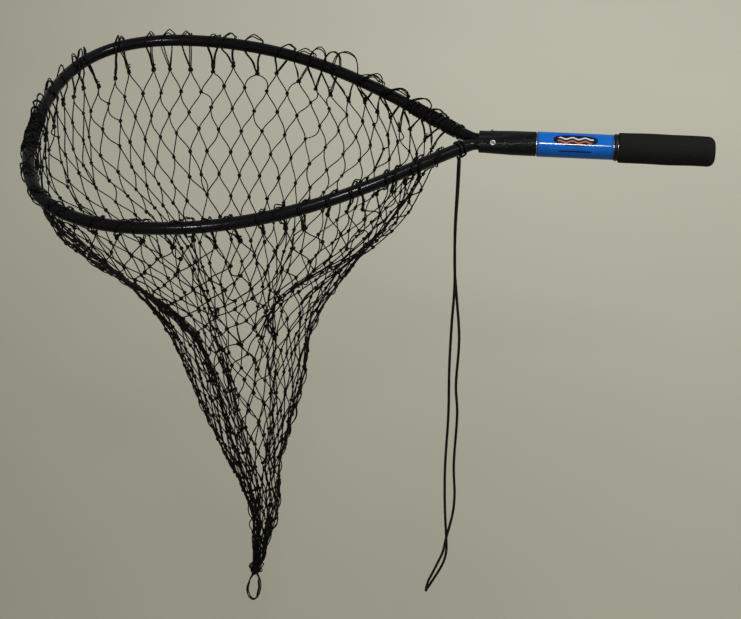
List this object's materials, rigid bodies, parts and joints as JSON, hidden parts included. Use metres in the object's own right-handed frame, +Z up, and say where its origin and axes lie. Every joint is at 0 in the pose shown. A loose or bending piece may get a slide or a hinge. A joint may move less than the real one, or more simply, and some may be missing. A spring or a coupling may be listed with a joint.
{
  "type": "landing net",
  "caption": "Hand-held fishing net with a pear-shaped tube hoop, a short gripped handle, a deep knotted hanging bag and a doubled lanyard.",
  "frame": {"origin": "the middle of the foam grip on the handle's axis, where a hand holds the net up", "axes": "+X along the handle towards its butt, +Y across the hoop, +Z up, square to the hoop, with the bag hanging to -Z"},
  "size_m": [0.7085, 0.3878, 0.6884],
  "materials": {
    "painted_tube": "satin black paint on aluminium",
    "bare_tube": "drawn tube",
    "textured_sleeve": "cross-hatched vinyl",
    "label": "glossy printed film",
    "black_plastic": "moulded",
    "foam": "closed-cell foam",
    "rivet": "bright",
    "twine": "tarred twisted nylon",
    "elastic": "braided"
  },
  "bodies": {
    "frame": {"hoop_tube": "painted_tube", "handle_tube": "bare_tube", "throat_sleeve": "textured_sleeve", "rivet_near": "rivet", "rivet_far": "rivet", "label_sleeve": "label", "grip_collar": "black_plastic", "foam_grip": "foam", "butt_plug": "black_plastic", "bag_heading": "twine", "bag_body": "twine", "closing_loop": "twine"},
    "hitch": {"lanyard_hitch": "elastic"},
    "lanyard": {"lanyard_cord": "elastic"}
  },
  "joints": [
    {"name": "hitch_turn", "type": "hinge", "parent": "frame", "child": "hitch", "pos_m": [-0.211, -0.01541, 0], "axis": [-0.7793, -0.6266, 0], "range_deg": [-12, 70]},
    {"name": "lanyard_swing", "type": "hinge", "parent": "hitch", "child": "lanyard", "pos_m": [-0.211, -0.01541, -0.0105], "axis": [0, -1, 0], "range_deg": [-12, 60]}
  ]
}
